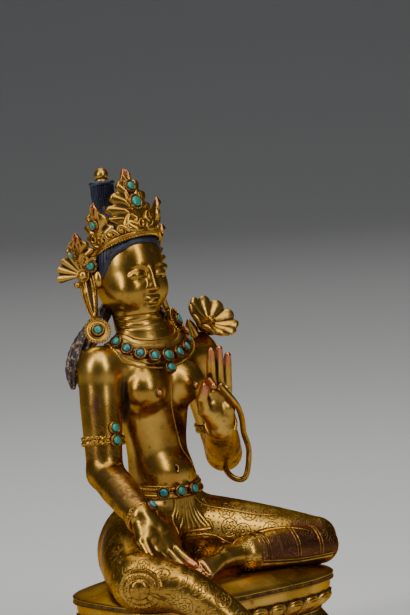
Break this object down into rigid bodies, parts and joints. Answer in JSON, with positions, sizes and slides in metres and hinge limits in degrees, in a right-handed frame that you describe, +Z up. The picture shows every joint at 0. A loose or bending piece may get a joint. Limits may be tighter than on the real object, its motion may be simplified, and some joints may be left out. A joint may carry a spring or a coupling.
{
  "type": "seated tara figure",
  "caption": "Seated gilt-copper Tara in royal ease on an oval lotus pedestal, crowned and jewelled with turquoise, one hand giving and one holding a lotus stem.",
  "frame": {"origin": "centre of the pedestal's underside, on the surface it stands on", "axes": "+Z up, the figure faces -Y, +X is towards its left hand"},
  "size_m": [0.1099, 0.0991, 0.1886],
  "materials": {
    "gilt_copper": "fire gilt, worn, dark in the recesses",
    "turquoise": "polished cabochons"
  },
  "bodies": {
    "root": {"figure": "gilt_copper", "lotus_pedestal": "gilt_copper", "turquoise_necklace_1": "turquoise", "turquoise_necklace_2": "turquoise", "turquoise_necklace_3": "turquoise", "turquoise_necklace_4": "turquoise", "turquoise_necklace_5": "turquoise", "turquoise_necklace_6": "turquoise", "turquoise_necklace_7": "turquoise", "turquoise_necklace_8": "turquoise", "turquoise_necklace_9": "turquoise", "turquoise_pendant": "turquoise", "turquoise_armlet_lower": "turquoise", "turquoise_armlet_upper": "turquoise", "turquoise_bracelet": "turquoise", "turquoise_earring_right": "turquoise", "turquoise_earring_left": "turquoise", "turquoise_crown_front": "turquoise", "turquoise_crown_front_upper": "turquoise", "turquoise_crown_right_front": "turquoise", "turquoise_crown_left_front": "turquoise", "turquoise_crown_right_side": "turquoise", "turquoise_ear_right": "turquoise", "turquoise_belt_1": "turquoise", "turquoise_belt_2": "turquoise", "turquoise_belt_3": "turquoise"}
  },
  "joints": []
}
